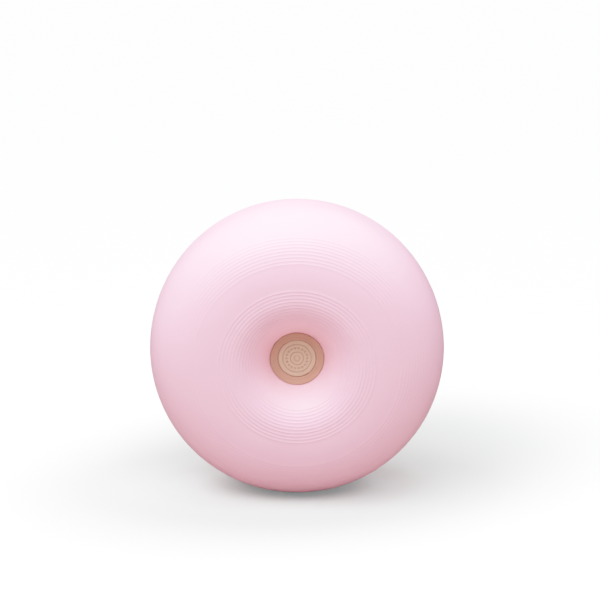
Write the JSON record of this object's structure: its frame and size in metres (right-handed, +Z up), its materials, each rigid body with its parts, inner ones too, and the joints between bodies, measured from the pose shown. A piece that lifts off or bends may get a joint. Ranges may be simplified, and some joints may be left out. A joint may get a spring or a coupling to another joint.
{
  "type": "inflatable donut ball",
  "caption": "Inflatable ring-shaped play and exercise ball with a deep dimple in each face, moulded hubs and a pull-out air plug, standing on its edge.",
  "frame": {"origin": "on the ground, at the middle of the flat that the ball stands on, under the ball's centre", "axes": "+Y along the ball's axis, out of the rear (valve) face; the emblem face looks to -Y; +Z up"},
  "size_m": [0.45, 0.25, 0.448],
  "materials": {
    "bladder_skin": "satin",
    "front_hub": "satin",
    "front_emblem_disc": "satin",
    "rear_hub": "satin",
    "rear_valve_disc": "satin",
    "valve_plug": "satin",
    "neck_clamps": "satin",
    "hub_tie_tube": "satin"
  },
  "bodies": {
    "ball": {"bladder_skin": "bladder_skin", "front_hub": "front_hub", "front_emblem_disc": "front_emblem_disc", "rear_hub": "rear_hub", "rear_valve_disc": "rear_valve_disc", "front_neck_clamp": "neck_clamps", "rear_neck_clamp": "neck_clamps", "hub_tie_tube": "hub_tie_tube"},
    "plug": {"valve_plug": "valve_plug"}
  },
  "joints": [
    {"name": "valve_plug_pull", "type": "slide", "parent": "ball", "child": "plug", "axis": [0, 1, 0], "range_m": [0, 0.022]}
  ]
}
